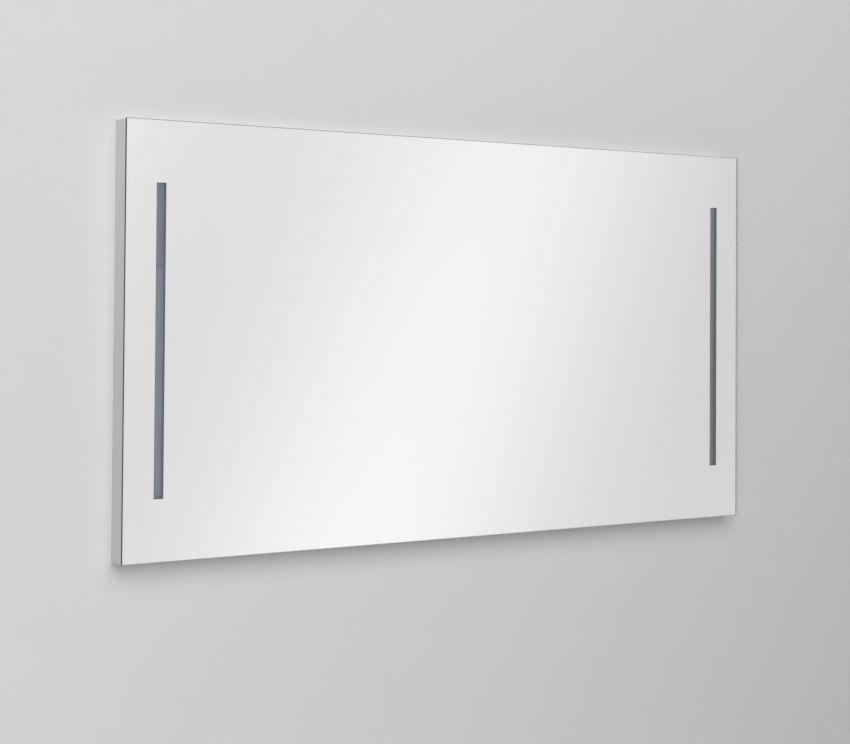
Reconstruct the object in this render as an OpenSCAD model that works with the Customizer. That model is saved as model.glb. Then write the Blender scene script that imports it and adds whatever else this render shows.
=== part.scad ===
// Illuminated wall mirror: one sheet of glass with two vertical light windows, on a shallow
// aluminium casing that hooks over two wall brackets.
// The mirror faces -Y, the wall is the plane y = 0, and +Z is up. The origin is on the wall
// plane, at the centre of the four wall screw holes.

/* [Mirror] */
// Width of the glass
mirror_w = 1400; // [1150:10:1700]
// Height of the glass
mirror_h = 750; // [620:10:900]
// Distance from the wall to the front of the glass
overall_d = 47; // [44:1:60]
// Thickness of the glass
glass_t = 5; // [4:0.5:6]
// Width of the arris ground along every glass edge
arris = 0.5; // [0.4:0.1:1.2]
// Thickness of the silvering with its backing paint
silver_t = 0.2; // [0.1:0.05:0.4]
// Distance from the glass edge to the edge of the silvering
silver_inset = 0.5; // [0.3:0.1:2]
// Thickness of the foam tape that holds the glass
tape_t = 0.8; // [0.5:0.1:1.5]
// Width of the foam tape on the casing
tape_w = 14; // [8:1:16]

/* [Light windows] */
// Width of each clear window in the silvering
window_w = 18; // [14:0.5:24]
// Height of each clear window
window_h = 536; // [400:1:560]
// Distance from the side edge of the glass to the window
window_inset = 58; // [46:1:120]
// Depth of the trough from the silvering to the diffuser
trough_depth = 8; // [5:0.5:12]
// How far the trough stands back from the window's edges
trough_margin = 0.5; // [0.2:0.1:2]
// Distance from the window's top to the joint in the left diffuser
diffuser_joint = 143; // [80:1:300]
// Open gap at the joint in the left diffuser
diffuser_gap = 0.8; // [0.3:0.1:1.5]
// Thickness of the diffusers
diffuser_t = 2; // [1.5:0.5:3]

/* [Light channels] */
// Wall of the light channels
channel_wall = 1.5; // [1.2:0.1:2]
// Width of the flanges that are taped to the glass
channel_flange = 6; // [4:0.5:8]
// How far each channel runs past its window, at each end
channel_over = 3; // [2:1:8]
// Width of the ledges that carry the diffuser
ledge_w = 2; // [1.5:0.5:3]
// Thickness of the channel end caps
cap_t = 3; // [2:0.5:4]
// Width of the light boards
board_w = 12; // [10:1:14]
// Thickness of the light boards
board_t = 1.6; // [1:0.2:2]
// Distance between neighbouring light emitters
emitter_pitch = 16; // [12:1:25]
// Size of one light emitter
emitter_size = [3.5, 0.8, 2.8]; // [0.5:0.1:6]

/* [Casing] */
// Wall of the aluminium casing profile
frame_wall = 1.6; // [1.4:0.1:2]
// How far the glass stands past the casing on each side
glass_overhang = 0.5; // [0.2:0.1:1]
// Width of the casing's front flange behind the glass
flange_w = 20; // [18:1:24]
// Gap between the wall and the casing's back rim
wall_gap = 2; // [1:0.5:4]
// Inner width of the square chamber that holds the corner keys
key_chamber = 9; // [8:0.5:10]
// Length of each leg of a corner key
key_leg = 40; // [30:1:50]
// Running clearance of a corner key in its chamber
key_clearance = 0.1; // [0.05:0.05:0.3]
// Thickness of the back panel
panel_t = 1; // [0.8:0.1:1.5]
// Gap between the back panel and the casing wall
panel_clearance = 0.5; // [0.3:0.1:1]
// Screws along each long side of the back panel
long_screws = 6; // [4:1:9]
// Screws along each short side of the back panel
short_screws = 3; // [2:1:5]
// Distance from a casing corner to the nearest back panel screw
screw_end = 70; // [60:1:100]
// Length of one ventilation slot
vent_l = 36; // [20:1:50]
// Ventilation slots in one row
vent_count = 10; // [4:1:14]
// Distance between neighbouring ventilation slots
vent_pitch = 12; // [10:1:16]
// Width of one ventilation slot
vent_w = 4; // [3:0.5:6]
// Outer width of the stiffening beads pressed into the back panel
bead_w = 16; // [10:1:24]
// Depth of the stiffening beads
bead_depth = 1.5; // [1:0.1:2]

/* [Screws] */
// Shank diameter of the small screws
screw_d = 3.2; // [2.5:0.1:4]
// Head diameter of the small screws
head_d = 7; // [6:0.1:8]
// Head height of the small screws
head_h = 2; // [1.5:0.1:2.5]
// Shank length of the small screws
screw_l = 7; // [5:0.5:8]

/* [Hanging] */
// Distance from the casing's top down to the centre of the wall screws
hang_drop = 110; // [95:1:160]
// Distance between the centres of the two wall brackets
bracket_spacing = 900; // [600:10:1000]
// Distance between the two screw holes of one wall bracket
hole_spacing = 40; // [30:1:50]
// Diameter of the wall screw holes
wall_hole_d = 6.5; // [5:0.5:8]
// Width of a wall bracket
bracket_w = 60; // [40:1:66]
// Steel thickness of brackets and hangers
steel_t = 2; // [1.5:0.5:2.5]
// Distance from a wall screw hole to the end of the bracket's plate
hole_margin = 15; // [12:1:20]
// Distance from the wall to the front of the bracket's upturned lip
bracket_reach = 10; // [9:0.5:12]
// Height of the upturned lip above the bracket's shelf
lip_h = 15; // [12:1:18]
// How far the hanger's hook grips down behind the lip
hook_grip = 10; // [8:0.5:11]
// Play between the hook and the lip, front to back
hook_play = 1.5; // [1:0.25:2]
// Width of the hook
hook_w = 70; // [60:1:80]
// Width of a hanger between the outer faces of its legs
hanger_w = 100; // [90:1:120]
// Width of the feet that are riveted to the back panel
foot_w = 16; // [12:1:20]
// Diameter of the hanger rivets
rivet_d = 4; // [3:0.2:5]
// Diameter of the rubber wall buffers
buffer_d = 20; // [12:1:30]
// Distance from the casing's lower corner to a buffer, sideways and up
buffer_inset = [150, 60]; // [40:1:300]

/* [Driver] */
// Length, height and depth of the driver case
driver_size = [170, 48, 24]; // [20:1:200]
// Wall of the driver case and the terminal box
case_wall = 2; // [1.5:0.1:2.5]
// Distance from the casing's top to the driver case
driver_drop = 18; // [16:1:30]
// Length of the two mounting ears of the driver
ear_l = 12; // [10:1:16]
// Width of the mounting ears
ear_w = 20; // [12:1:30]
// Height of the posts under the driver board
post_h = 3; // [2:0.5:5]

/* [Terminal box] */
// Length, height and depth of the terminal box
terminal_size = [90, 50, 26]; // [20:1:120]
// Sideways place of the terminal box's centre
terminal_x = 190; // [160:1:300]
// Distance from the casing's top to the terminal box
terminal_drop = 76; // [70:1:120]
// Bore of the cable grommet
cable_d = 10; // [8:0.5:12]
// Width of the groove's shoulder on the grommet
grommet_lip = 3; // [2:0.5:4]
// Poles of the terminal block
poles = 3; // [2:1:4]
// Distance between the poles
pole_pitch = 10; // [8:0.5:12]

/* [Leads] */
// Diameter of the internal leads
lead_d = 3.5; // [3:0.1:4.5]
// Bend radius of the internal leads
bend_r = 7; // [6:0.5:8]
// Height of the leads above the back panel
lead_stand = 7; // [6:0.5:9]
// Distance from the casing's top to the light leads
light_lead_drop = 24; // [22:1:30]
// Distance from the casing's bottom up to the switch lead
switch_lead_rise = 50; // [45:1:80]
// Free play round a lead where it passes through a wall
lead_play = 0.25; // [0.1:0.05:0.5]
// Length of one lead clip along the lead
clip_l = 8; // [5:1:12]
// Wall of a lead clip round the lead
clip_wall = 2; // [1.5:0.5:3]

/* [Switch] */
// Sideways place of the rocker switch in the underside
switch_x = 560; // [300:1:570]
// Length and width of the switch body
switch_body = [19, 12.8]; // [10:0.1:24]
// Height of the switch body inside the casing
switch_h = 18; // [15:1:22]
// Width of the bezel round the switch body
bezel_w = 1.3; // [1:0.1:2]
// Thickness of the bezel under the casing
bezel_t = 1.5; // [1:0.1:2]
// Length and width of the rocker
rocker_size = [15.8, 10]; // [8:0.1:20]
// Gap between the rocker and its housing
rocker_gap = 0.3; // [0.2:0.05:0.4]
// Height of the rocker's pivot above the casing's underside
pivot_rise = 2.2; // [1.8:0.1:3]
// Diameter of the rocker's pivot pin
pin_d = 2.4; // [2:0.1:3]
// Radial clearance of the pivot pin
pin_clearance = 0.05; // [0.02:0.01:0.1]
// Tilt of the rocker to either side of level
rocker_tilt = 6; // [4:0.5:7]

/* [Hidden] */
$fn = 64;

// How far a cutter reaches past the face it cuts.
past = 1;

// Casing outline and its edges.
frame_w = mirror_w - 2 * glass_overhang;
frame_h = mirror_h - 2 * glass_overhang;
top_z = hang_drop;
mid_z = top_z - frame_h / 2;
bottom_z = top_z - frame_h;

// Layers from the front of the glass back to the wall.
front_y = -overall_d;
glass_back_y = front_y + glass_t;
silver_back_y = glass_back_y + silver_t;
frame_front_y = silver_back_y + tape_t;
frame_back_y = -wall_gap;
panel_back_y = frame_back_y - head_h;
panel_front_y = panel_back_y - panel_t;
inner_d = panel_front_y - frame_front_y;

// The casing's key chamber and the line of the back panel screws.
chamber_out = key_chamber + 2 * frame_wall;
screw_u = frame_wall + key_chamber / 2;
panel_w = frame_w - 2 * (frame_wall + panel_clearance);
panel_h = frame_h - 2 * (frame_wall + panel_clearance);

// Light channels.
window_x = mirror_w / 2 - window_inset - window_w / 2;
window_top_z = mid_z + window_h / 2;
trough_half = window_w / 2 + trough_margin;
channel_half = trough_half + channel_wall;
channel_l = window_h + 2 * channel_over;
channel_top_z = mid_z + channel_l / 2;
diffuser_front_y = silver_back_y + trough_depth;
diffuser_back_y = diffuser_front_y + diffuser_t;
board_back_y = panel_front_y - channel_wall;
board_front_y = board_back_y - board_t;
board_l = channel_l - 2 * cap_t;
emitter_count = floor(board_l / emitter_pitch);

// Wall brackets and the hangers that hook over them.
plate_half_h = hole_spacing / 2 + hole_margin;
lip_top_z = plate_half_h + lip_h;
lip_back_y = steel_t - bracket_reach;
hook_front_y = lip_back_y + hook_play;
hanger_back_y = -bracket_reach - steel_t;
hanger_top_z = lip_top_z + steel_t;
hanger_bottom_z = -plate_half_h - hole_margin / 2;
opening_margin = 2;
opening_w = hanger_w - 2 * steel_t - 4 * opening_margin;
opening_top_z = hanger_top_z + opening_margin;
opening_bottom_z = hanger_bottom_z + opening_margin;
rivet_x = hanger_w / 2 + foot_w / 2 - steel_t / 2;
rivet_end = 12;

// Stiffening beads in the back panel, between the hangers' height and the lower vents.
bead_x = terminal_x + terminal_size.x / 2 + 65;
bead_top_z = hanger_bottom_z - 20;
bead_bottom_z = bottom_z + 120;

// Driver and terminal box.
driver_z = top_z - driver_drop - driver_size.y / 2;
driver_floor_y = panel_front_y - case_wall;
driver_lid_y = panel_front_y - driver_size.z + case_wall;
post_top_y = driver_floor_y - post_h;
post_d = 6;
driver_board_t = 1.6;
driver_screw_x = driver_size.x / 2 + ear_l / 2;
// Places of the posts under the driver board, as [x, z] from the driver's centre.
driver_posts = [for (x_side = [-1, 1], z_side = [-1, 1])
    [x_side * (driver_size.x / 2 - case_wall - 8), z_side * (driver_size.y / 2 - case_wall - 8)]];
terminal_z = top_z - terminal_drop - terminal_size.y / 2;
terminal_lid_y = panel_front_y - terminal_size.z + case_wall;
terminal_floor_y = panel_front_y - case_wall;
grommet_x = terminal_x + terminal_size.x / 4;
block_x = terminal_x - terminal_size.x / 8;
block_size = [poles * pole_pitch, 18, 14];
cover_post_x = terminal_x + terminal_size.x / 2 - case_wall - 5;
cover_post_z = terminal_z - terminal_size.y / 2 + case_wall + 5;

// Rocker switch.
switch_y = frame_front_y + frame_wall + switch_body.y / 2 + bezel_w + 2;
rocker_half = rocker_size.x / 2;
pivot_z = bottom_z + pivot_rise;
contact_h = 8;

// Routes of the internal leads, from point to point with a bend at each inner point.
lead_y = panel_front_y - lead_stand;
light_lead_z = top_z - light_lead_drop;
driver_lead_z = driver_z - 6;
driver_lead_x = terminal_x - terminal_size.x / 4;
switch_lead_z = bottom_z + switch_lead_rise;
function light_route(side) = [
    [side * (driver_size.x / 2 - case_wall - 2), lead_y, light_lead_z],
    [side * window_x, lead_y, light_lead_z],
    [side * window_x, lead_y, channel_top_z - 6]
];
driver_route = [
    [driver_lead_x, lead_y, terminal_z + terminal_size.y / 2 - case_wall - 2],
    [driver_lead_x, lead_y, driver_lead_z],
    [driver_size.x / 2 - case_wall - 2, lead_y, driver_lead_z]
];
switch_route = [
    [terminal_x, lead_y, terminal_z - terminal_size.y / 2 + case_wall + 2],
    [terminal_x, lead_y, switch_lead_z],
    [switch_x, lead_y, switch_lead_z],
    [switch_x, switch_y, switch_lead_z],
    [switch_x, switch_y, bottom_z + switch_h + contact_h]
];

// Evenly spread places over a span, centred on zero.
function spread(count, span) = [for (i = [0:count - 1]) span * (i / (count - 1) - 0.5)];

// Back panel screws, as [x, z].
panel_screw_places = concat(
    [for (side = [-1, 1], x = spread(long_screws, frame_w - 2 * screw_end))
        [x, mid_z + side * (frame_h / 2 - screw_u)]],
    [for (side = [-1, 1], z = spread(short_screws, frame_h - 2 * screw_end - 80))
        [side * (frame_w / 2 - screw_u), mid_z + z]]
);
// Places of the buffers, as [x, z].
buffer_places = [for (side = [-1, 1])
    [side * (frame_w / 2 - buffer_inset.x), bottom_z + buffer_inset.y]];
// Places of the hanger rivets, as [x, z].
rivet_heights = [hanger_bottom_z + rivet_end, hanger_top_z - rivet_end];
rivet_places = [for (side = [-1, 1], leg = [-1, 1], z = rivet_heights)
    [side * bracket_spacing / 2 + leg * rivet_x, z]];

// Clips on the leads: [x, z, angle of the lead in the panel's plane].
light_clip_span = window_x - driver_size.x / 2 - 4 * bend_r;
light_clip_mid = driver_size.x / 2 + ear_l + light_clip_span / 2;
switch_clip_top = terminal_z - terminal_size.y / 2 - 30;
clip_places = concat(
    [for (side = [-1, 1], x = spread(4, light_clip_span - 60))
        [side * (light_clip_mid + x), light_lead_z, 0]],
    [for (z = spread(4, switch_clip_top - switch_lead_z - 60))
        [terminal_x, (switch_clip_top + switch_lead_z) / 2 + z, 90]],
    [for (x = spread(3, switch_x - terminal_x - 80))
        [(switch_x + terminal_x) / 2 + x, switch_lead_z, 0]],
    [[(driver_lead_x + driver_size.x / 2 + ear_l) / 2, driver_lead_z, 0]]
);

silver_colour = [0.86, 0.88, 0.89];
casing_colour = [0.71, 0.72, 0.73];
steel_colour = [0.62, 0.64, 0.66];
white_colour = [0.90, 0.90, 0.88];
dark_colour = [0.16, 0.16, 0.17];

// A cylinder whose axis runs along Y, from y0 to y1.
module pin_y(d, y0, y1) {
    translate([0, y1, 0]) rotate([90, 0, 0]) cylinder(h = y1 - y0, d = d);
}

// A block given by its centre in X and Z and its two Y faces.
module slab(w, h, y0, y1) {
    translate([-w / 2, y0, -h / 2]) cube([w, y1 - y0, h]);
}

// A pan-head screw along Y with a cross recess. The head sits on y = seat and the shank runs
// towards -Y, or towards +Y when facing is -1.
module pan_screw(seat, shank, facing = 1) {
    translate([0, seat, 0]) rotate([0, 0, facing > 0 ? 0 : 180]) {
        difference() {
            pin_y(head_d, 0, head_h);
            for (turn = [0, 90])
                rotate([0, turn, 0]) slab(head_d * 0.55, 0.9, head_h - 1, head_h + past);
        }
        pin_y(screw_d, -shank, 0);
    }
}

// A lead along a route of axis-parallel runs, with a quarter bend at each inner point.
module lead(route) {
    last = len(route) - 1;
    function heading(i) = (route[i + 1] - route[i]) / norm(route[i + 1] - route[i]);
    for (i = [0:last - 1]) {
        along = heading(i);
        start = route[i] + along * (i == 0 ? 0 : bend_r);
        run = norm(route[i + 1] - route[i]) - (i == 0 ? 0 : bend_r) - (i == last - 1 ? 0 : bend_r);
        across = abs(along.z) > 0.5 ? [1, 0, 0] : [0, 0, 1];
        beside = cross(along, across);
        multmatrix([
            [across.x, beside.x, along.x, start.x],
            [across.y, beside.y, along.y, start.y],
            [across.z, beside.z, along.z, start.z]
        ]) cylinder(h = run, d = lead_d);
    }
    for (i = [1:last - 1]) {
        arrive = heading(i - 1);
        leave = heading(i);
        axis = cross(arrive, leave);
        centre = route[i] + (leave - arrive) * bend_r;
        multmatrix([
            [-leave.x, arrive.x, axis.x, centre.x],
            [-leave.y, arrive.y, axis.y, centre.y],
            [-leave.z, arrive.z, axis.z, centre.z]
        ]) rotate_extrude(angle = 90) translate([bend_r, 0]) circle(d = lead_d);
    }
}

// The glass seen end on: a rectangle with its four corners ground off.
module arris_outline(length) {
    half = length / 2;
    polygon([
        [arris - half, front_y], [half - arris, front_y], [half, front_y + arris],
        [half, glass_back_y - arris], [half - arris, glass_back_y], [arris - half, glass_back_y],
        [-half, glass_back_y - arris], [-half, front_y + arris]
    ]);
}

module mirror_glass() {
    color([0.80, 0.88, 0.86, 0.5]) translate([0, 0, mid_z]) intersection() {
        linear_extrude(height = mirror_h, center = true) arris_outline(mirror_w);
        rotate([0, 90, 0]) linear_extrude(height = mirror_w, center = true) arris_outline(mirror_h);
    }
}

module silver_coating() {
    color(silver_colour) translate([0, 0, mid_z]) difference() {
        slab(mirror_w - 2 * silver_inset, mirror_h - 2 * silver_inset, glass_back_y, silver_back_y);
        for (side = [-1, 1])
            translate([side * window_x, 0, 0])
                slab(window_w, window_h, glass_back_y - past, silver_back_y + past);
    }
}

// Four strips between the casing's front flange and the glass.
module mounting_tape() {
    edge = (flange_w + tape_w) / 2;
    color(dark_colour) translate([0, 0, mid_z]) for (side = [-1, 1]) {
        translate([0, 0, side * (frame_h / 2 - edge + tape_w / 2)])
            slab(frame_w - 2 * (edge - tape_w), tape_w, silver_back_y, frame_front_y);
        translate([side * (frame_w / 2 - edge + tape_w / 2), 0, 0])
            slab(tape_w, frame_h - 2 * edge, silver_back_y, frame_front_y);
    }
}

// Two strips on each light channel's flanges.
module channel_tape() {
    color(dark_colour) for (side = [-1, 1], edge = [-1, 1])
        translate([side * window_x + edge * (channel_half + channel_flange / 2), 0, mid_z])
            slab(channel_flange, channel_l, silver_back_y, frame_front_y);
}

// Section of the casing profile: X is the distance in from the outer face.
module frame_section() {
    difference() {
        union() {
            translate([0, frame_front_y]) square([frame_wall, frame_back_y - frame_front_y]);
            translate([0, frame_front_y]) square([flange_w, frame_wall]);
            translate([0, panel_front_y - chamber_out]) square(chamber_out);
        }
        translate([frame_wall, panel_front_y - chamber_out + frame_wall]) square(key_chamber);
    }
}

// One mitred side of the casing, standing on end, its outer face at x = 0.
module frame_side(length) {
    reach = flange_w + past;
    half = length / 2;
    intersection() {
        linear_extrude(height = length, center = true) frame_section();
        rotate([90, 0, 0]) linear_extrude(height = overall_d)
            polygon([[0, -half], [0, half], [reach, half - reach], [reach, reach - half]]);
    }
}

// Pilot holes for the back panel screws, through the back wall of the key chamber.
module panel_screw_holes() {
    for (place = panel_screw_places)
        translate([place.x, 0, place.y]) pin_y(screw_d, panel_front_y - screw_l, panel_back_y + past);
}

module frame_left() {
    color(casing_colour) difference() {
        translate([-frame_w / 2, 0, mid_z]) frame_side(frame_h);
        panel_screw_holes();
    }
}

module frame_right() {
    color(casing_colour) difference() {
        translate([frame_w / 2, 0, mid_z]) mirror([1, 0, 0]) frame_side(frame_h);
        panel_screw_holes();
    }
}

module frame_top() {
    color(casing_colour) difference() {
        translate([0, 0, top_z]) rotate([0, 90, 0]) frame_side(frame_w);
        panel_screw_holes();
    }
}

module frame_bottom() {
    color(casing_colour) difference() {
        translate([0, 0, bottom_z]) rotate([0, -90, 0]) frame_side(frame_w);
        panel_screw_holes();
        translate([switch_x - switch_body.x / 2, switch_y - switch_body.y / 2, bottom_z - past])
            cube([switch_body.x, switch_body.y, frame_wall + 2 * past]);
    }
}

// Angles pressed into the chambers of two neighbouring sides.
module corner_keys() {
    inner = frame_wall + key_chamber - key_clearance;
    leg_end = frame_wall + key_leg;
    front = panel_front_y - chamber_out + frame_wall + key_clearance / 2;
    color([0.55, 0.56, 0.58])
        for (x_side = [-1, 1], z_side = [-1, 1])
            translate([x_side * frame_w / 2, 0, mid_z + z_side * frame_h / 2])
                scale([-x_side, 1, -z_side])
                    translate([0, front + key_chamber - key_clearance, 0]) rotate([90, 0, 0])
                        linear_extrude(height = key_chamber - key_clearance) polygon([
                            [frame_wall, frame_wall], [leg_end, frame_wall], [leg_end, inner],
                            [inner, inner], [inner, leg_end], [frame_wall, leg_end]
                        ]);
}

// An upright bar with round ends, between the bead's heights, from y0 to y1.
module bead_bar(w, y0, y1) {
    length = bead_top_z - bead_bottom_z - bead_w;
    translate([0, 0, (bead_top_z + bead_bottom_z) / 2]) {
        slab(w, length, y0, y1);
        for (end = [-1, 1]) translate([0, 0, end * length / 2]) pin_y(w, y0, y1);
    }
}

// Sheet that closes the back, with an opening behind each hanger and three pressed beads.
module back_panel() {
    opening_h = opening_top_z - opening_bottom_z;
    color([0.76, 0.77, 0.78]) difference() {
        union() {
            translate([0, 0, mid_z]) slab(panel_w, panel_h, panel_front_y, panel_back_y);
            for (side = [-1, 0, 1])
                translate([side * bead_x, 0, 0])
                    bead_bar(bead_w, panel_front_y - bead_depth, panel_front_y);
        }
        for (side = [-1, 0, 1])
            translate([side * bead_x, 0, 0])
                bead_bar(bead_w - 2 * panel_t, panel_back_y - bead_depth, panel_back_y + past);
        panel_screw_holes();
        for (side = [-1, 1])
            translate([side * bracket_spacing / 2, 0, (opening_top_z + opening_bottom_z) / 2])
                slab(opening_w, opening_h, panel_front_y - past, panel_back_y + past);
        for (place = rivet_places)
            translate([place.x, 0, place.y]) pin_y(rivet_d, panel_front_y - past, panel_back_y + past);
        for (place = buffer_places)
            translate([place.x, 0, place.y])
                pin_y(buffer_d / 3, panel_front_y - past, panel_back_y + past);
        for (side = [-1, 1])
            translate([side * driver_screw_x, 0, driver_z])
                pin_y(screw_d, panel_front_y - past, panel_back_y + past);
        translate([grommet_x, 0, terminal_z])
            pin_y(cable_d + 2 * grommet_lip, panel_front_y - past, panel_back_y + past);
        for (row_z = [driver_z - driver_size.y / 2 - vent_l, bottom_z + chamber_out + vent_l],
             x = spread(vent_count, vent_pitch * (vent_count - 1)))
            translate([x, 0, row_z]) slab(vent_w, vent_l, panel_front_y - past, panel_back_y + past);
    }
}

module panel_screws() {
    color(steel_colour) for (place = panel_screw_places)
        translate([place.x, 0, place.y]) pan_screw(panel_back_y, screw_l);
}

// Push-in rubber buffers that hold the lower edge parallel to the wall.
module wall_buffers() {
    color(dark_colour) for (place = buffer_places) translate([place.x, 0, place.y]) {
        pin_y(buffer_d, panel_back_y, 0);
        pin_y(buffer_d / 3, panel_front_y, panel_back_y);
        pin_y(buffer_d / 2, panel_front_y - 2, panel_front_y);
    }
}

// Rubber ring for the supply cable, through the back panel and the terminal box floor.
module cable_grommet() {
    groove_d = cable_d + 2 * grommet_lip;
    color(dark_colour) translate([grommet_x, 0, terminal_z]) difference() {
        union() {
            pin_y(groove_d + 2 * grommet_lip, panel_back_y, panel_back_y + 1.5);
            pin_y(groove_d, terminal_floor_y, panel_back_y);
            pin_y(groove_d + grommet_lip, terminal_floor_y - 1.5, terminal_floor_y);
        }
        pin_y(cable_d, terminal_floor_y - 2 * past - 1.5, panel_back_y + 2 * past + 1.5);
    }
}

// Section of a light channel, open to the front, with a ledge on each side for the diffuser.
module channel_section() {
    difference() {
        union() {
            translate([-channel_half, frame_front_y]) square([2 * channel_half, inner_d]);
            translate([-channel_half - channel_flange, frame_front_y])
                square([2 * (channel_half + channel_flange), channel_wall]);
        }
        translate([-trough_half, frame_front_y - past])
            square([2 * trough_half, diffuser_back_y - frame_front_y + past]);
        translate([ledge_w - trough_half, frame_front_y]) square([2 * (trough_half - ledge_w),
            diffuser_back_y - frame_front_y + channel_wall + past]);
        translate([-trough_half, diffuser_back_y + channel_wall])
            square([2 * trough_half, board_back_y - diffuser_back_y - channel_wall]);
    }
}

module light_channel(side) {
    color(casing_colour) translate([side * window_x, 0, mid_z])
        linear_extrude(height = channel_l, center = true) channel_section();
}

module light_channel_left() { light_channel(-1); }

module light_channel_right() { light_channel(1); }

// End caps of one light channel. The lead passes through the upper one.
module end_caps(side) {
    color(white_colour) translate([side * window_x, 0, mid_z]) difference() {
        for (end = [-1, 1])
            translate([0, 0, end * (channel_l + cap_t) / 2])
                slab(2 * channel_half, cap_t, frame_front_y, panel_front_y);
        translate([0, lead_y, channel_l / 2 - past])
            cylinder(h = cap_t + 2 * past, d = lead_d + 2 * lead_play);
    }
}

module end_caps_left() { end_caps(-1); }

module end_caps_right() { end_caps(1); }

module light_board(side) {
    color(white_colour) translate([side * window_x, 0, mid_z])
        slab(board_w, board_l, board_front_y, board_back_y);
}

module light_board_left() { light_board(-1); }

module light_board_right() { light_board(1); }

// The row of light emitters on one board.
module emitters(side) {
    color([0.95, 0.85, 0.45])
        for (z = spread(emitter_count, (emitter_count - 1) * emitter_pitch))
            translate([side * window_x, 0, mid_z + z])
                slab(emitter_size.x, emitter_size.z, board_front_y - emitter_size.y, board_front_y);
}

module emitters_left() { emitters(-1); }

module emitters_right() { emitters(1); }

// A length of diffuser between two heights.
module diffuser(side, z0, z1) {
    color([0.86, 0.89, 0.93]) translate([side * window_x, 0, (z0 + z1) / 2])
        slab(2 * trough_half, z1 - z0, diffuser_front_y, diffuser_back_y);
}

module diffuser_left_upper() { diffuser(-1, window_top_z - diffuser_joint, channel_top_z); }

module diffuser_left_lower() {
    diffuser(-1, channel_top_z - channel_l, window_top_z - diffuser_joint - diffuser_gap);
}

module diffuser_right() { diffuser(1, channel_top_z - channel_l, channel_top_z); }

// Top-hat hanger: a bridge plate on two legs, with a hook that turns down behind the bracket's lip.
module hanger(side) {
    height = hanger_top_z - hanger_bottom_z;
    leg_x = (hanger_w - steel_t) / 2;
    color(steel_colour) translate([side * bracket_spacing / 2, 0, 0]) difference() {
        union() {
            translate([0, 0, hanger_bottom_z + height / 2]) {
                slab(hanger_w, height, hanger_back_y - steel_t, hanger_back_y);
                for (leg = [-1, 1]) {
                    translate([leg * leg_x, 0, 0]) slab(steel_t, height, hanger_back_y, panel_front_y);
                    translate([leg * rivet_x, 0, 0])
                        slab(foot_w, height, panel_front_y - steel_t, panel_front_y);
                }
            }
            translate([0, 0, hanger_top_z - steel_t / 2])
                slab(hook_w, steel_t, hanger_back_y, hook_front_y + steel_t);
            translate([0, 0, hanger_top_z - (hook_grip + steel_t) / 2])
                slab(hook_w, hook_grip + steel_t, hook_front_y, hook_front_y + steel_t);
        }
        for (leg = [-1, 1], z = rivet_heights)
            translate([leg * rivet_x, 0, z])
                pin_y(rivet_d, panel_front_y - steel_t - past, panel_front_y + past);
    }
}

module hanger_left() { hanger(-1); }

module hanger_right() { hanger(1); }

module hanger_rivets() {
    color(steel_colour) for (place = rivet_places) translate([place.x, 0, place.y]) {
        pin_y(rivet_d, panel_front_y - steel_t, panel_back_y);
        pin_y(2 * rivet_d, panel_back_y, panel_back_y + 1);
        pin_y(1.5 * rivet_d, panel_front_y - steel_t - 1.2, panel_front_y - steel_t);
    }
}

// Wall bracket: a plate with two screw holes, a shelf, and an upturned lip that carries the hook.
module wall_bracket(side) {
    color(steel_colour) translate([side * bracket_spacing / 2, 0, 0]) difference() {
        union() {
            slab(bracket_w, 2 * plate_half_h, -steel_t, 0);
            translate([0, 0, plate_half_h - steel_t / 2]) slab(bracket_w, steel_t, -bracket_reach, 0);
            translate([0, 0, plate_half_h - steel_t + (lip_h + steel_t) / 2])
                slab(bracket_w, lip_h + steel_t, -bracket_reach, lip_back_y);
        }
        for (end = [-1, 1])
            translate([0, 0, end * hole_spacing / 2]) pin_y(wall_hole_d, -steel_t - past, past);
    }
}

module wall_bracket_left() { wall_bracket(-1); }

module wall_bracket_right() { wall_bracket(1); }

// An open tray against the back panel: outer length and height, floor at the panel.
module tray(w, h, rim_y) {
    difference() {
        slab(w, h, rim_y, panel_front_y);
        slab(w - 2 * case_wall, h - 2 * case_wall, rim_y - past, panel_front_y - case_wall);
    }
}

module driver_case() {
    hole_d = lead_d + 2 * lead_play;
    color(white_colour) difference() {
        translate([0, 0, driver_z]) {
            tray(driver_size.x, driver_size.y, driver_lid_y);
            for (post = driver_posts)
                translate([post.x, 0, post.y]) pin_y(post_d, post_top_y, driver_floor_y);
            for (side = [-1, 1])
                translate([side * driver_screw_x, 0, 0])
                    slab(ear_l, ear_w, driver_floor_y, panel_front_y);
        }
        for (side = [-1, 1])
            translate([side * driver_screw_x, 0, driver_z])
                pin_y(screw_d, driver_floor_y - past, panel_front_y + past);
        for (side = [-1, 1])
            translate([side * (driver_size.x / 2 - case_wall - past), lead_y, light_lead_z])
                rotate([0, side * 90, 0]) cylinder(h = case_wall + 2 * past, d = hole_d);
        translate([driver_size.x / 2 - case_wall - past, lead_y, driver_lead_z])
            rotate([0, 90, 0]) cylinder(h = case_wall + 2 * past, d = hole_d);
    }
}

module driver_cover() {
    color(white_colour) translate([0, 0, driver_z]) {
        slab(driver_size.x, driver_size.y, driver_lid_y - case_wall, driver_lid_y);
        slab(driver_size.x - 2 * case_wall - 0.4, driver_size.y - 2 * case_wall - 0.4,
            driver_lid_y, driver_lid_y + 1.5);
    }
}

module driver_board() {
    color([0.20, 0.42, 0.30]) translate([0, 0, driver_z])
        slab(driver_size.x - 2 * case_wall - 10, driver_size.y - 2 * case_wall - 8,
            post_top_y - driver_board_t, post_top_y);
}

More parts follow.
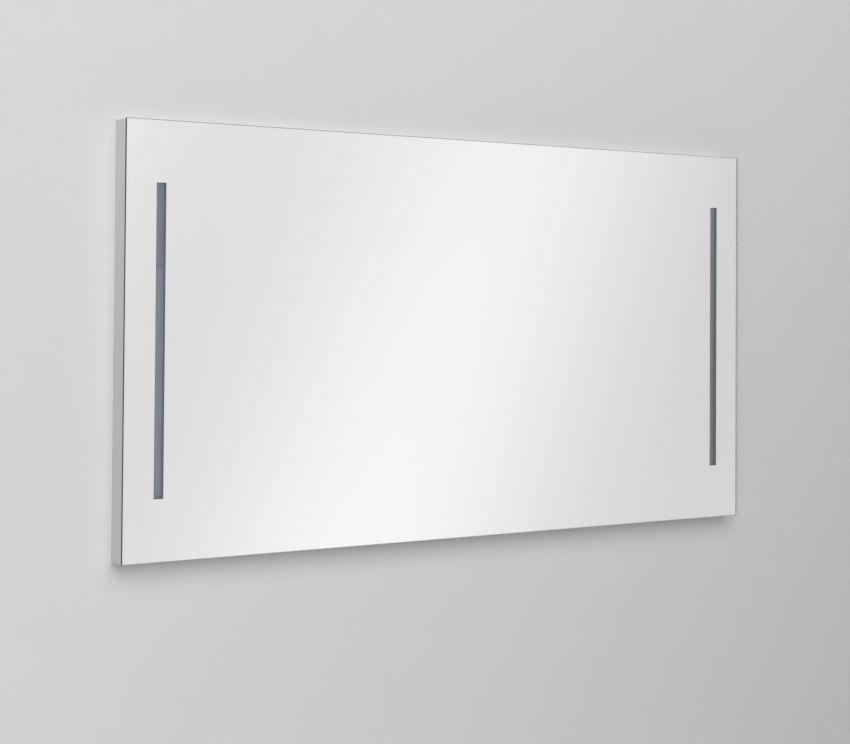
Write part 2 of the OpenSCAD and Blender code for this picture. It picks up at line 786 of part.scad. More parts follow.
// Transformer, choke and capacitors on the driver board.
module driver_components() {
    seat = post_top_y - driver_board_t;
    room = seat - driver_lid_y - 2;
    color([0.24, 0.24, 0.26]) translate([0, 0, driver_z]) {
        slab(26, 24, seat - min(13, room), seat);
        translate([32, 0, 4]) slab(16, 16, seat - min(9, room), seat);
        for (x = [-60, -46, 54]) translate([x, 0, 0]) pin_y(10, seat - min(12, room), seat);
        translate([-28, 0, -6]) slab(10, 14, seat - min(7, room), seat);
    }
}

module driver_screws() {
    color(steel_colour) for (side = [-1, 1])
        translate([side * driver_screw_x, 0, driver_z])
            pan_screw(driver_floor_y, panel_back_y - driver_floor_y, facing = -1);
}

module terminal_box() {
    hole_d = lead_d + 2 * lead_play;
    half_h = terminal_size.y / 2;
    color([0.78, 0.79, 0.80]) difference() {
        union() {
            translate([terminal_x, 0, terminal_z]) tray(terminal_size.x, terminal_size.y, terminal_lid_y);
            translate([cover_post_x, 0, cover_post_z]) pin_y(8, terminal_lid_y, terminal_floor_y);
        }
        translate([cover_post_x, 0, cover_post_z])
            pin_y(screw_d, terminal_lid_y - past, terminal_lid_y + screw_l);
        translate([grommet_x, 0, terminal_z])
            pin_y(cable_d + 2 * grommet_lip, terminal_floor_y - past, panel_front_y + past);
        translate([driver_lead_x, lead_y, terminal_z + half_h - case_wall - past])
            cylinder(h = case_wall + 2 * past, d = hole_d);
        translate([terminal_x, lead_y, terminal_z - half_h - past])
            cylinder(h = case_wall + 2 * past, d = hole_d);
    }
}

module terminal_cover() {
    front = terminal_lid_y - case_wall;
    color([0.78, 0.79, 0.80]) difference() {
        translate([terminal_x, 0, terminal_z])
            slab(terminal_size.x, terminal_size.y, front, terminal_lid_y);
        translate([cover_post_x, 0, cover_post_z]) pin_y(screw_d, front - past, terminal_lid_y + past);
    }
}

module terminal_cover_screw() {
    color(steel_colour) translate([cover_post_x, 0, cover_post_z])
        pan_screw(terminal_lid_y - case_wall, screw_l, facing = -1);
}

// Insulating block with one through bore and one screw shaft for each pole.
module terminal_block() {
    color(white_colour) translate([block_x, 0, terminal_z]) difference() {
        slab(block_size.x, block_size.y, terminal_floor_y - block_size.z, terminal_floor_y);
        for (x = spread(poles, (poles - 1) * pole_pitch)) {
            translate([x, terminal_floor_y - block_size.z / 2, -block_size.y / 2 - past])
                cylinder(h = block_size.y + 2 * past, d = 5);
            translate([x, 0, 0])
                pin_y(3.5, terminal_floor_y - block_size.z - past, terminal_floor_y - block_size.z / 2);
        }
    }
}

// Brass sleeves in the terminal block, each with its clamping screw.
module terminal_clamps() {
    sleeve_y = terminal_floor_y - block_size.z / 2;
    color([0.80, 0.66, 0.32]) translate([block_x, 0, terminal_z])
        for (x = spread(poles, (poles - 1) * pole_pitch)) translate([x, 0, 0]) {
            difference() {
                translate([0, sleeve_y, -7]) cylinder(h = 14, d = 5);
                translate([0, sleeve_y, -7 - past]) cylinder(h = 14 + 2 * past, d = 3);
            }
            difference() {
                pin_y(3.5, terminal_floor_y - block_size.z + 2, sleeve_y - 2);
                slab(4, 0.6, terminal_floor_y - block_size.z, terminal_floor_y - block_size.z + 2.8);
            }
        }
}

module lead_light_left() { color(dark_colour) lead(light_route(-1)); }

module lead_light_right() { color(dark_colour) lead(light_route(1)); }

module lead_driver() { color(white_colour) lead(driver_route); }

module lead_switch() { color(white_colour) lead(switch_route); }

// Stick-on blocks that hold the leads off the back panel.
module lead_clips() {
    width = lead_d + 2 * clip_wall;
    color(white_colour) for (place = clip_places)
        translate([place.x, 0, place.y]) rotate([0, place.z, 0]) difference() {
            slab(clip_l, width, lead_y - width / 2, panel_front_y);
            translate([-clip_l / 2 - past, lead_y, 0]) rotate([0, 90, 0])
                cylinder(h = clip_l + 2 * past, d = lead_d);
        }
}

// Snap-in housing: a bezel under the casing, a hollow body inside it, and two pivot bearings.
module switch_housing() {
    mouth = [rocker_size.x + 2 * rocker_gap, rocker_size.y + 2 * rocker_gap];
    color(dark_colour) translate([switch_x, switch_y, bottom_z]) difference() {
        union() {
            translate([-switch_body.x / 2, -switch_body.y / 2, -bezel_t])
                cube([switch_body.x, switch_body.y, switch_h + bezel_t]);
            translate([-switch_body.x / 2 - bezel_w, -switch_body.y / 2 - bezel_w, -bezel_t])
                cube([switch_body.x + 2 * bezel_w, switch_body.y + 2 * bezel_w, bezel_t]);
        }
        translate([-mouth.x / 2, -mouth.y / 2, -bezel_t - past])
            cube([mouth.x, mouth.y, bezel_t + past + switch_h - 6]);
        translate([0, 0, pivot_rise])
            pin_y(pin_d + 2 * pin_clearance, -switch_body.y / 2 - past, switch_body.y / 2 + past);
    }
}

// Rocker with its pivot pin, resting with the right end out.
module switch_rocker() {
    outer = rocker_half - 0.4;
    face = -pivot_rise - bezel_t;
    color(dark_colour) translate([switch_x, switch_y, pivot_z]) rotate([0, rocker_tilt, 0]) {
        rotate([90, 0, 0]) linear_extrude(height = rocker_size.y, center = true) polygon([
            [-outer, face - 0.5], [0, face + 0.6], [outer, face - 0.5],
            [rocker_half, 1], [3, 3], [-3, 3], [-rocker_half, 1]
        ]);
        pin_y(pin_d, -rocker_size.y / 2 - rocker_gap - 0.6, rocker_size.y / 2 + rocker_gap + 0.6);
    }
}

// Two blades out of the switch's inner end.
module switch_contacts() {
    color([0.80, 0.66, 0.32]) translate([switch_x, switch_y, bottom_z + switch_h])
        for (side = [-1, 1])
            translate([side * (lead_d / 2 + 0.4), 0, contact_h / 2]) slab(0.8, contact_h, -2.4, 2.4);
}

mirror_glass();
silver_coating();
mounting_tape();
channel_tape();
frame_top();
frame_bottom();
frame_left();
frame_right();
corner_keys();
back_panel();
panel_screws();
wall_buffers();
cable_grommet();
light_channel_left();
light_channel_right();
end_caps_left();
end_caps_right();
light_board_left();
light_board_right();
emitters_left();
emitters_right();
diffuser_left_upper();
diffuser_left_lower();
diffuser_right();
hanger_left();
hanger_right();
hanger_rivets();
wall_bracket_left();
wall_bracket_right();
driver_case();
driver_cover();
driver_board();
driver_components();
driver_screws();
terminal_box();
terminal_cover();
terminal_cover_screw();
terminal_block();
terminal_clamps();
lead_light_left();
lead_light_right();
lead_driver();
lead_switch();
lead_clips();
switch_housing();
switch_rocker();
switch_contacts();
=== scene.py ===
"""Wall mirror with two light windows: the looks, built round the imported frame.

Metres, +Z up. The mirror faces -Y, the wall is the plane y = 0.
"""

import math

import bmesh
import bpy
from mathutils import Matrix, Vector


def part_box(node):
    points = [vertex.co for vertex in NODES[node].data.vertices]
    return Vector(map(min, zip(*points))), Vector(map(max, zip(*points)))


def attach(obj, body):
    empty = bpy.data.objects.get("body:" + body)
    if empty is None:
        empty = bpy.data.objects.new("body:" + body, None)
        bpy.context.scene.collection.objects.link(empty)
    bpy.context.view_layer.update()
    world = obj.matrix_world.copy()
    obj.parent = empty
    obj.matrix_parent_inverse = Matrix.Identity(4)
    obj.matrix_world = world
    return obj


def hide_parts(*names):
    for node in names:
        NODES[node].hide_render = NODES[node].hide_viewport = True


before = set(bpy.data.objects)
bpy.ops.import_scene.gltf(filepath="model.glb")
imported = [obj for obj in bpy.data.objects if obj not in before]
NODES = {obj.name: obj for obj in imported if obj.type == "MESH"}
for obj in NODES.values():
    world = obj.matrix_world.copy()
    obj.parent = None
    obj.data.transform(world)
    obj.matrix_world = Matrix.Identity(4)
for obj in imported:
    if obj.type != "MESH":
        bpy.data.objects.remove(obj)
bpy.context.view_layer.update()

MM = 0.001


# ---------------------------------------------------------------- camera

CAMERA_PLACE = (-1.981, -2.845, -0.1925)
CAMERA_TURN = (-34.012, 1.395, 0.394)       # yaw, pitch and roll in degrees
CAMERA_SHIFT = (-0.001, -0.1368)
FOCAL_LENGTH = 76.80                        # millimetres, on a 36 mm sensor


def make_camera():
    lens = bpy.data.cameras.new("view")
    lens.sensor_width = 36.0
    lens.lens = FOCAL_LENGTH
    lens.shift_x, lens.shift_y = CAMERA_SHIFT
    lens.clip_start = 0.05
    lens.clip_end = 50.0
    camera = bpy.data.objects.new("view", lens)
    bpy.context.scene.collection.objects.link(camera)
    yaw, pitch, roll = (math.radians(angle) for angle in CAMERA_TURN)
    turn = (Matrix.Rotation(yaw, 4, "Z") @ Matrix.Rotation(math.pi / 2 + pitch, 4, "X")
            @ Matrix.Rotation(roll, 4, "Z"))
    camera.matrix_world = Matrix.Translation(CAMERA_PLACE) @ turn
    bpy.context.scene.camera = camera


make_camera()


# ---------------------------------------------------------------- shader maths

class Wire:
    """A value in a node tree. Sums and products on it add Math nodes."""

    def __init__(self, recipe, socket):
        self.recipe = recipe
        self.socket = socket

    def math(self, operation, *values):
        return self.recipe.add("ShaderNodeMath", {"operation": operation}, dict(enumerate(values)))

    def __add__(self, other):
        return self.math("ADD", self, other)

    __radd__ = __add__

    def __mul__(self, other):
        return self.math("MULTIPLY", self, other)

    __rmul__ = __mul__

    def __sub__(self, other):
        return self.math("SUBTRACT", self, other)

    def __rsub__(self, other):
        return self.math("SUBTRACT", other, self)

    def __truediv__(self, other):
        return self.math("DIVIDE", self, other)

    def __neg__(self):
        return self * -1.0

    def __pow__(self, other):
        return self.math("POWER", self, other)

    def __gt__(self, other):
        return self.math("GREATER_THAN", self, other)

    def within(self, low, high):
        return self.math("MINIMUM", self.math("MAXIMUM", self, low), high)

    def ease(self, low, high):
        """0 below low, 1 above high, and smooth between them."""
        settings = {"interpolation_type": "SMOOTHSTEP"}
        return self.recipe.add("ShaderNodeMapRange", settings,
                               {"Value": self, "From Min": low, "From Max": high})


class Recipe:
    """The nodes of one material, or of the world."""

    def __init__(self, tree):
        self.tree = tree
        tree.nodes.clear()

    def add(self, kind, settings=None, inputs=None, output=0):
        """Adds a node: its type, its settings, and the values or wires of its sockets."""
        node = self.tree.nodes.new(kind)
        for name, value in (settings or {}).items():
            setattr(node, name, value)
        for name, value in (inputs or {}).items():
            if isinstance(value, Wire):
                self.tree.links.new(value.socket, node.inputs[name])
            else:
                node.inputs[name].default_value = value
        return Wire(self, node.outputs[output])

    def place(self, stretch=(1.0, 1.0, 1.0)):
        """The point on the piece in metres, times stretch along each axis."""
        point = self.add("ShaderNodeTexCoord", output="Object")
        if tuple(stretch) == (1.0, 1.0, 1.0):
            return point
        return self.add("ShaderNodeVectorMath", {"operation": "MULTIPLY"},
                        {0: point, 1: stretch})

    def axis(self, letter):
        """One coordinate of the point on the piece, in metres."""
        return self.add("ShaderNodeSeparateXYZ", inputs={0: self.place()}, output=letter)

    def noise(self, scale, detail=2.0, rough=0.5, stretch=(1.0, 1.0, 1.0)):
        return self.add("ShaderNodeTexNoise", inputs={
            "Vector": self.place(stretch), "Scale": scale, "Detail": detail, "Roughness": rough})

    def cells(self, scale, output="Distance"):
        return self.add("ShaderNodeTexVoronoi", inputs={
            "Vector": self.place(), "Scale": scale}, output=output)

    def blend(self, amount, first, second):
        """The first colour where amount is 0, the second where it is 1."""
        return self.add("ShaderNodeMix", {"data_type": "RGBA"},
                        {0: amount, 6: first, 7: second}, 2)

    def relief(self, height, depth):
        """A normal for bumps of that depth in metres."""
        return self.add("ShaderNodeBump", inputs={
            "Strength": 1.0, "Distance": depth, "Height": height})

    def surface(self, **sockets):
        """The shader, with sockets named as in Base_Color."""
        named = {name.replace("_", " "): value for name, value in sockets.items()}
        return self.add("ShaderNodeBsdfPrincipled", inputs=named)

    def end(self, shader, kind="ShaderNodeOutputMaterial"):
        node = self.tree.nodes.new(kind)
        self.tree.links.new(shader.socket, node.inputs["Surface"])


def grey(level, warm=0.0):
    """A grey of that linear level. Positive warm leans to yellow, negative to blue."""
    return (level * (1 + warm), level, level * (1 - warm), 1.0)


def material(name, make):
    """A material whose nodes come from make(recipe), which returns the shader."""
    made = bpy.data.materials.new(name)
    made.use_nodes = True
    recipe = Recipe(made.node_tree)
    recipe.end(make(recipe))
    return made


# ---------------------------------------------------------------- finishes

GLASS_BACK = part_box("silver_coating")[0].y
SILVER_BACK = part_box("silver_coating")[1].y


def clear_glass(r):
    """Float glass: faint green, with a trace of wipe marks in its gloss."""
    haze = r.noise(9.0, 3.0, stretch=(1.0, 1.0, 0.6)).ease(0.55, 0.8)
    return r.surface(Base_Color=(0.982, 0.988, 0.985, 1.0), Roughness=haze * 0.004,
                     IOR=1.52, Transmission_Weight=1.0)


def ground_edge(dark, light):
    """A ground edge of the glass, matt with fine grinding lines. Seen from within the glass it is
    painted a lighter tone and given a faint glow, painted light that stands in for the room's
    light coming through it; from outside it is darker."""

    def make(r):
        lines = r.noise(900.0, 2.0, stretch=(0.02, 1.0, 0.02))
        within = r.add("ShaderNodeNewGeometry", output="Backfacing")
        # painted light: the lighter tone and the glow that the edge shows from within the glass
        through = (0.74, 0.77, 0.76, 1.0)
        return r.surface(Base_Color=r.blend(within, r.blend(lines, dark, light), through),
                         Emission_Color=r.blend(within, grey(0.0), through),
                         Emission_Strength=0.27, Roughness=0.32 + lines * 0.2,
                         Normal=r.relief(lines, 0.00005))

    return make


def silvering(r):
    """Mirror-bright on the glass side, grey backing paint on the other."""
    painted = r.axis("Y") > (GLASS_BACK + SILVER_BACK) / 2
    specks = r.noise(700.0, 3.0)
    paint = r.blend(specks, grey(0.23, 0.03), grey(0.30, 0.03))
    return r.surface(Base_Color=r.blend(painted, grey(0.955, 0.004), paint),
                     Metallic=1.0 - painted, Roughness=painted * (0.45 + specks * 0.2),
                     Normal=r.relief(specks * painted, 0.00004))


def foam(r):
    pores = r.cells(900.0)
    return r.surface(Base_Color=r.blend(pores, grey(0.012), grey(0.035)), Roughness=0.9,
                     Normal=r.relief(pores, 0.0003))


def drawn_metal(along, light, dark, rough, metallic=1.0):
    """Extruded metal: fine die lines that run along one axis."""
    stretch = [1.0, 1.0, 1.0]
    stretch["XYZ".index(along)] = 0.004

    def make(r):
        lines = r.noise(1400.0, 3.0, 0.6, stretch)
        cloud = r.noise(14.0, 3.0)
        tone = r.blend(lines * 0.6 + cloud * 0.4, dark, light)
        return r.surface(Base_Color=tone, Metallic=metallic,
                         Roughness=rough - 0.04 + lines * 0.05 + cloud * 0.05,
                         Normal=r.relief(lines, 0.00002))

    return make


def cast_metal(r):
    grain = r.noise(420.0, 4.0)
    return r.surface(Base_Color=r.blend(grain, grey(0.30), grey(0.44)), Metallic=1.0,
                     Roughness=0.42 + grain * 0.2, Normal=r.relief(grain, 0.00015))


def coated_sheet(r):
    """Zinc-coated sheet with a quiet spangle and slight roller streaks."""
    flake = r.cells(150.0, output="Color")
    facet = r.add("ShaderNodeSeparateColor", inputs={0: flake})
    streak = r.noise(60.0, 3.0, stretch=(0.05, 1.0, 1.0))
    cloud = r.noise(7.0, 3.0)
    level = facet * 0.4 + streak * 0.3 + cloud * 0.3
    return r.surface(Base_Color=r.blend(level, grey(0.60, -0.015), grey(0.72, -0.01)),
                     Metallic=0.55, Roughness=0.38 + level * 0.12,
                     Normal=r.relief(streak, 0.00003))


def zinc_plate(r):
    """Bright zinc plating: cloudy, with a faint yellow-blue drift and fine pits."""
    cloud = r.noise(32.0, 4.0, 0.6)
    pits = r.noise(900.0, 2.0)
    return r.surface(Base_Color=r.blend(cloud, (0.60, 0.62, 0.66, 1.0), (0.76, 0.74, 0.67, 1.0)),
                     Metallic=0.75, Roughness=0.28 + cloud * 0.14 + pits * 0.06,
                     Normal=r.relief(pits, 0.00004))


def fastener_zinc(r):
    cloud = r.noise(260.0, 3.0)
    return r.surface(Base_Color=r.blend(cloud, (0.62, 0.63, 0.66, 1.0), (0.80, 0.79, 0.74, 1.0)),
                     Metallic=0.8, Roughness=0.24 + cloud * 0.16,
                     Normal=r.relief(r.noise(1200.0), 0.00003))


def rivet_metal(r):
    dimple = r.noise(500.0, 2.0)
    return r.surface(Base_Color=r.blend(dimple, grey(0.58), grey(0.70)), Metallic=1.0,
                     Roughness=0.3 + dimple * 0.14, Normal=r.relief(dimple, 0.00005))


def rubber(r):
    grain = r.noise(650.0, 3.0)
    bloom = r.noise(70.0, 2.0)
    return r.surface(Base_Color=r.blend(bloom, grey(0.014), grey(0.032)),
                     Roughness=0.62 + grain * 0.2, Normal=r.relief(grain, 0.00012))


def moulded(low, high, rough, grain_scale=750.0, depth=0.00006):
    """Moulded plastic: an even spark-eroded grain and a slight drift in tone."""

    def make(r):
        grain = r.noise(grain_scale, 3.0, 0.6)
        drift = r.noise(26.0, 2.0)
        return r.surface(Base_Color=r.blend(drift, low, high), Roughness=rough + grain * 0.12,
                         Normal=r.relief(grain, depth))

    return make


WINDOW_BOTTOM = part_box("diffuser_right")[0].z
WINDOW_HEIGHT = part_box("diffuser_right")[1].z - WINDOW_BOTTOM


def opal(top, bottom):
    """Opal acrylic with a faint blue cast, matt. Its tone drifts from top to bottom, painted light
    and shade.
    """

    def make(r):
        haze = r.noise(45.0, 3.0, stretch=(1.0, 1.0, 0.25))
        grain = r.noise(1500.0, 2.0)
        # painted light and shade: the tone runs from the bottom of the window to its top
        height = (r.axis("Z") - WINDOW_BOTTOM) / WINDOW_HEIGHT
        level = height + (haze - 0.5) * 0.4
        return r.surface(Base_Color=r.blend(level, bottom, top), Roughness=0.42 + grain * 0.12,
                         Normal=r.relief(grain, 0.00002))

    return make


def board_mask(low, high):
    """A circuit board: solder mask over faint copper runs."""

    def make(r):
        runs = r.add("ShaderNodeTexBrick", inputs={
            "Vector": r.place(), "Scale": 60.0, "Mortar Size": 0.03}, output="Fac")
        grain = r.noise(900.0)
        return r.surface(Base_Color=r.blend(runs, low, high), Roughness=0.3 + grain * 0.12,
                         Coat_Weight=0.3, Normal=r.relief(runs, 0.00003))

    return make


def emitter(r):
    """A light emitter: yellow gel in a pale frame."""
    gel = r.noise(1100.0, 2.0)
    return r.surface(Base_Color=r.blend(gel, (0.80, 0.56, 0.10, 1.0), (0.88, 0.68, 0.20, 1.0)),
                     Roughness=0.35 + gel * 0.15, Normal=r.relief(gel, 0.00005))


def sheathing(low, high):
    """The sheath of a lead: extruded plastic with long faint ripples."""

    def make(r):
        ripple = r.noise(240.0, 2.0)
        return r.surface(Base_Color=r.blend(ripple, low, high), Roughness=0.42 + ripple * 0.16,
                         Normal=r.relief(ripple, 0.00012))

    return make


def brass(r):
    cloud = r.noise(160.0, 3.0)
    return r.surface(Base_Color=r.blend(cloud, (0.60, 0.42, 0.15, 1.0), (0.78, 0.58, 0.26, 1.0)),
                     Metallic=1.0, Roughness=0.24 + cloud * 0.18,
                     Normal=r.relief(r.noise(900.0), 0.00004))


CASING_LIGHT, CASING_DARK = grey(0.80, -0.005), grey(0.71, -0.005)
# By material slot, or by node where one slot has more than one finish.
FINISHES = {
    "clear_glass": clear_glass,
    "silvering": silvering,
    "foam_tape": foam,
    "casing_upright": drawn_metal("Z", CASING_LIGHT, CASING_DARK, 0.42, 0.35),
    "casing_level": drawn_metal("X", CASING_LIGHT, CASING_DARK, 0.42, 0.35),
    "key_metal": cast_metal,
    "back_sheet": coated_sheet,
    "zinc_steel": zinc_plate,
    "zinc_fastener": fastener_zinc,
    "rivet_aluminium": rivet_metal,
    "black_rubber": rubber,
    "channel_aluminium": drawn_metal("Z", grey(0.62, -0.02), grey(0.53, -0.02), 0.45, 0.6),
    "white_plastic": moulded(grey(0.66, 0.02), grey(0.72, 0.02), 0.42),
    "white_board": board_mask(grey(0.66), grey(0.78)),
    "emitter_yellow": emitter,
    # The three diffusers are one opal acrylic in three tones: their differences, and each one's
    # drift from top to bottom, are painted light and shade.
    "diffuser_left_upper": opal((0.505, 0.593, 0.746, 1.0), (0.485, 0.566, 0.720, 1.0)),
    "diffuser_left_lower": opal((0.605, 0.672, 0.860, 1.0), (0.575, 0.650, 0.838, 1.0)),
    "diffuser_right": opal((0.529, 0.617, 0.712, 1.0), (0.443, 0.520, 0.608, 1.0)),
    "green_board": board_mask((0.010, 0.070, 0.030, 1.0), (0.020, 0.11, 0.05, 1.0)),
    "component_dark": moulded(grey(0.022), grey(0.040), 0.38),
    "grey_plastic": moulded(grey(0.42, 0.01), grey(0.48, 0.01), 0.42),
    "cream_plastic": moulded((0.62, 0.56, 0.42, 1.0), (0.68, 0.62, 0.48, 1.0), 0.45),
    "brass": brass,
    "grey_lead": sheathing(grey(0.10), grey(0.15)),
    "white_lead": sheathing(grey(0.58, 0.02), grey(0.68, 0.02)),
    "black_plastic": moulded(grey(0.012), grey(0.022), 0.45),
    "black_gloss": moulded(grey(0.010), grey(0.016), 0.16, 300.0, 0.00001),
    # One ground glass in two tones: the arris is painted lighter than the edge faces, painted
    # light where the arris catches the light.
    "ground_edge": ground_edge((0.050, 0.066, 0.060, 1.0), (0.12, 0.145, 0.135, 1.0)),
    "ground_arris_painted_light": ground_edge((0.34, 0.38, 0.365, 1.0), (0.50, 0.54, 0.525, 1.0)),
}
MATERIALS = {name: material(name + "_finish", make) for name, make in FINISHES.items()}


# Width of the broken edge on carried-over nodes, in millimetres.
BROKEN_EDGES = {
    "frame_left": 0.35, "frame_right": 0.35, "frame_top": 0.35, "frame_bottom": 0.35,
    "corner_keys": 0.4, "light_channel_left": 0.2,
    "light_channel_right": 0.2, "end_caps_left": 0.3, "end_caps_right": 0.3,
    "diffuser_left_upper": 0.15, "diffuser_left_lower": 0.15, "diffuser_right": 0.15,
    "driver_cover": 0.8, "terminal_cover": 0.8, "driver_components": 0.6,
    "switch_housing": 0.25, "switch_rocker": 0.3, "panel_screws": 0.45,
    "hanger_rivets": 0.7, "hanger_left": 0.4, "hanger_right": 0.4,
    "wall_buffers": 1.2, "cable_grommet": 0.6,
}


SAME_POINT = 0.001 * MM


def break_edges(piece, width, sharp=35.0):
    """Joins the piece's split corners and rounds its sharp edges, by modifiers alone."""
    weld = piece.modifiers.new("join corners", "WELD")
    weld.merge_threshold = SAME_POINT
    bevel = piece.modifiers.new("broken edges", "BEVEL")
    bevel.width = width * MM
    bevel.segments = 3 if width > 0.5 else 2
    bevel.limit_method = "ANGLE"
    bevel.angle_limit = math.radians(sharp)
    bevel.harden_normals = True


def dress_frame():
    """Gives every carried-over node its finish, and breaks its sharp edges."""
    for name, node in NODES.items():
        slot = node.material_slots[0].material.name
        if slot == "casing_aluminium":
            slot = "casing_upright" if name in ("frame_left", "frame_right") else "casing_level"
        # each diffuser takes its own tone of painted light and shade
        elif slot == "opal_diffuser":
            slot = name
        node.material_slots[0].material = MATERIALS[slot]
        if name in BROKEN_EDGES:
            break_edges(node, BROKEN_EDGES[name])


# ---------------------------------------------------------------- pieces

def make_piece(name, mesh, finish, body, node):
    """Puts a bmesh in the scene as the piece that stands for a node."""
    data = bpy.data.meshes.new(name)
    mesh.to_mesh(data)
    mesh.free()
    piece = bpy.data.objects.new(name, data)
    bpy.context.scene.collection.objects.link(piece)
    for one in [finish] if isinstance(finish, str) else finish:
        data.materials.append(MATERIALS[one])
    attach(piece, body)
    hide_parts(node)
    return piece


ARRIS = 0.5 * MM
BROAD = 0.01            # square metres: only the two faces of the pane are larger
PANE_CLEARANCE = 0.05 * MM


def mirror_pane():
    """The sheet of glass, with a rounded arris ground along every edge."""
    low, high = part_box("mirror_glass")
    high.y = GLASS_BACK - PANE_CLEARANCE
    mesh = bmesh.new()
    bmesh.ops.create_cube(mesh, size=1.0)
    for v in mesh.verts:
        v.co = Vector(((low[i] + high[i]) / 2 + v.co[i] * (high[i] - low[i]) for i in range(3)))
    bmesh.ops.bevel(mesh, geom=mesh.edges[:], offset=ARRIS, segments=3, profile=0.5,
                    affect="EDGES")
    for face in mesh.faces:
        broad = face.calc_area() > BROAD
        side = max(abs(face.normal.x), abs(face.normal.z)) > 0.999
        face.material_index = 0 if broad else 1 if side else 2
        face.smooth = not (broad or side)
    # the arris takes the lighter tone of the ground glass, painted light
    finishes = ["clear_glass", "ground_edge", "ground_arris_painted_light"]
    return make_piece("mirror_pane", mesh, finishes, "mirror_panel", "mirror_glass")


def copied(node, whole_faces=True):
    """The node's mesh, with its split corners joined and its flat faces made whole."""
    mesh = bmesh.new()
    mesh.from_mesh(NODES[node].data)
    bmesh.ops.remove_doubles(mesh, verts=mesh.verts, dist=SAME_POINT)
    if whole_faces:
        bmesh.ops.dissolve_limit(mesh, angle_limit=math.radians(1), verts=mesh.verts,
                                 edges=mesh.edges)
    for face in mesh.faces:
        face.smooth = True
    return mesh


def bends(mesh, places, radius):
    """Rounds the edges that run along X through the given (y, z) places, in millimetres."""
    chosen = []
    for edge in mesh.edges:
        near, far = (v.co / MM for v in edge.verts)
        level = abs(near.y - far.y) < 0.01 and abs(near.z - far.z) < 0.01
        if level and any(abs(near.y - y) < 0.1 and abs(near.z - z) < 0.1 for y, z in places):
            chosen.append(edge)
    bmesh.ops.bevel(mesh, geom=chosen, offset=radius * MM, segments=5, profile=0.5,
                    affect="EDGES")


# Where the brackets are bent, as (y, z) in millimetres, and the radii of their bends.
OUTER_BENDS, OUTER_RADIUS = [(0, 35), (-10, 33)], 2.6
INNER_BENDS, INNER_RADIUS = [(-2, 33), (-8, 35)], 0.6


def wall_bracket(side):
    """The bracket as bent from 2 mm sheet: plate, shelf and lip."""
    node = "wall_bracket_" + side
    mesh = copied(node)
    bends(mesh, OUTER_BENDS, OUTER_RADIUS)
    bends(mesh, INNER_BENDS, INNER_RADIUS)
    piece = make_piece("bracket_" + side, mesh, "zinc_steel", "wall_brackets", node)
    break_edges(piece, 0.3)
    piece.modifiers.new("even shading", "WEIGHTED_NORMAL")
    return piece


# The pressed beads in the back sheet, in millimetres: their centre lines, the ends of those
# lines, how far each wall slopes inward, how far out from the line a bead reaches, and the
# y behind which the sheet is flat and stays as it is.
BEAD_CENTRES = (-300.0, 0.0, 300.0)
BEAD_ENDS = (-511.0, -70.5)
BEAD_SLOPE = 2.6
BEAD_REACH = 9.0
BEAD_TOP_Y = -5.2


def back_sheet():
    """The closing sheet. The walls of its pressed beads slope, as a press tool leaves them."""
    mesh = copied("back_panel", whole_faces=False)
    for v in mesh.verts:
        centre = min(BEAD_CENTRES, key=lambda c: abs(v.co.x / MM - c)) * MM
        middle = Vector((centre, v.co.y, min(max(v.co.z, BEAD_ENDS[0] * MM), BEAD_ENDS[1] * MM)))
        outward = v.co - middle
        if v.co.y < BEAD_TOP_Y * MM and outward.length < BEAD_REACH * MM:
            v.co -= outward.normalized() * BEAD_SLOPE * MM
    piece = make_piece("back_sheet", mesh, "back_sheet", "mirror_panel", "back_panel")
    break_edges(piece, 0.5, 22.0)
    piece.modifiers.new("even shading", "WEIGHTED_NORMAL")
    return piece


dress_frame()
pane = mirror_pane()
back_sheet()
for side in ("left", "right"):
    wall_bracket(side)


# ---------------------------------------------------------------- stage and light

FLOOR = -1.8            # its height; the other sizes are the sheets' half widths and the top
FLOOR_HALF = 7.0
WALL_HALF = 2.2
WALL_TOP = 1.5


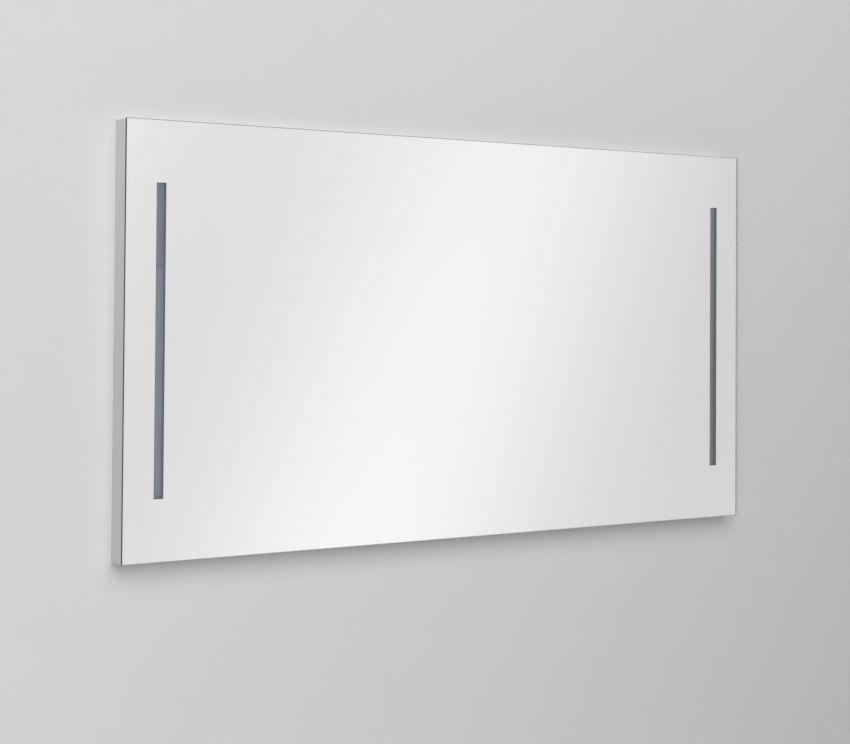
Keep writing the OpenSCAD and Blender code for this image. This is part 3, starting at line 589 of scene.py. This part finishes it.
def make_stage():
    """A pale wall behind the mirror, clear from behind, and a pale floor under it, which
    fades into the backdrop and is clear from below. Returns both by name."""

    def plaster(r):
        grain = r.noise(55.0, 4.0)
        x, z = r.axis("X"), r.axis("Z")
        # painted shade: the plaster's colour falls off to the lower right, where less light falls
        painted_light_falloff = 0.955 - x * 0.026 + z * 0.070 + x * z * 0.049    # darker to the lower right
        tone = r.blend(painted_light_falloff, grey(0.0), r.blend(grain, grey(0.775), grey(0.795)))
        shader = r.surface(Base_Color=tone, Roughness=0.85, Normal=r.relief(grain, 0.0004))
        unseen = r.add("ShaderNodeNewGeometry", output="Backfacing")
        shaded = r.add("ShaderNodeLightPath", output="Is Shadow Ray")
        clear = unseen.math("MAXIMUM", unseen, shaded)
        return r.add("ShaderNodeMixShader", inputs={
            0: clear, 1: shader, 2: r.add("ShaderNodeBsdfTransparent")})

    def paving(r):
        grain = r.noise(40.0, 4.0)
        shader = r.surface(Base_Color=r.blend(grain, grey(0.70), grey(0.73)), Roughness=0.6)
        far = r.add("ShaderNodeVectorMath", {"operation": "LENGTH"}, {0: r.place()}, "Value")
        below = r.add("ShaderNodeNewGeometry", output="Backfacing")
        clear = below.math("MAXIMUM", far.ease(3.0, 6.5), below)
        return r.add("ShaderNodeMixShader", inputs={
            0: clear, 1: shader, 2: r.add("ShaderNodeBsdfTransparent")})

    w, f = WALL_HALF, FLOOR_HALF
    wall = ("wall", plaster, [(-w, 0, FLOOR), (w, 0, FLOOR), (w, 0, WALL_TOP), (-w, 0, WALL_TOP)])
    floor = ("floor", paving, [(-f, -f, FLOOR), (f, -f, FLOOR), (f, f, FLOOR), (-f, f, FLOOR)])
    sheets = {}
    for name, make, corners in (wall, floor):
        data = bpy.data.meshes.new(name)
        data.from_pydata(corners, [], [(0, 1, 2, 3)])
        data.materials.append(material(name + "_paint", make))
        sheet = bpy.data.objects.new(name, data)
        bpy.context.scene.collection.objects.link(sheet)
        sheet.visible_glossy = False
        sheet.visible_transmission = False
        sheets[name] = sheet
    return sheets


AMBIENT = 0.17          # light from all round
BACKDROP = 0.72         # what is seen past the stage
EVEN = 0.74             # what the mirror shows away from the band
PICTURE = 1.12          # strength of what it shows near the band
MIDDLE = 34.0           # direction in degrees, from -Y to +X, that the light is drawn round


def make_world():
    """Even studio light, with one broad soft band that only the mirror picks up. The levels
    are drawn in tens of degrees, across and up from the middle."""
    world = bpy.data.worlds.new("studio")
    bpy.context.scene.world = world
    world.use_nodes = True
    r = Recipe(world.node_tree)
    ray = r.add("ShaderNodeTexCoord", output="Generated")
    split = {letter: r.add("ShaderNodeSeparateXYZ", inputs={0: ray}, output=letter)
             for letter in "XYZ"}
    degree = 180.0 / math.pi
    turn = split["X"].math("ARCTAN2", split["X"], -split["Y"]) * degree
    rise = split["Z"].math("ARCSINE", split["Z"]) * degree
    aside, above = (turn - MIDDLE) * 0.1, rise * 0.1
    across, up = aside.within(-1.1, 1.1), above.within(-1.0, 1.0)
    offset = (turn - 35.19 - up * 3.847) / 6.39
    band = turn.math("EXPONENT", -(offset * offset)) * (0.315 - up * 0.042)
    base = 0.595 - across * 0.065 + up * 0.034 + across * across * 0.073
    picture = (base - across * up * 0.104 + up * up * 0.034 + band) * PICTURE
    away = (aside * aside + above * above) ** 0.5
    level = EVEN + (1.0 - away.ease(1.7, 3.2)) * (picture - EVEN)
    seen = r.add("ShaderNodeLightPath", output="Is Camera Ray")
    mirrored = r.add("ShaderNodeLightPath", output="Is Transmission Ray")
    light = AMBIENT + mirrored * (level - AMBIENT) + seen * (BACKDROP - AMBIENT)
    back = r.add("ShaderNodeBackground", inputs={"Color": light})
    r.end(back, "ShaderNodeOutputWorld")


def make_lamp(name, place, aim, size, watts, unlit):
    """A soft box, which doesn't light the pieces in unlit."""
    data = bpy.data.lights.new(name, "AREA")
    data.shape = "RECTANGLE"
    data.size, data.size_y = size
    data.energy = watts
    lamp = bpy.data.objects.new(name, data)
    bpy.context.scene.collection.objects.link(lamp)
    lamp.location = place
    lamp.rotation_euler = (Vector(aim) - Vector(place)).to_track_quat("-Z", "Y").to_euler()
    lamp.visible_camera = False
    lamp.visible_transmission = False
    group = bpy.data.collections.new(name + "_unlit")
    for piece in unlit:
        group.objects.link(piece)
    for member in group.collection_objects:
        member.light_linking.link_state = "EXCLUDE"
    lamp.light_linking.receiver_collection = group


stage = make_stage()
make_world()

# Each lamp's name, place, aim, size in metres, watts, and what it doesn't light.
LAMPS = (
    ("window_side", (-1.6, -5.0, 2.5), (0.0, 0.0, -0.1), (6.0, 5.0), 268.0, [pane]),
    ("left_fill", (-4.5, -1.6, 0.6), (-0.7, 0.0, -0.3), (2.0, 3.0), 45.0, [pane, stage["wall"]]),
    ("behind", (0.9, 4.2, 1.8), (0.0, 0.0, -0.3), (5.0, 3.5), 260.0, [pane]),
)
for lamp in LAMPS:
    make_lamp(*lamp)

bpy.context.scene.view_settings.view_transform = "Standard"
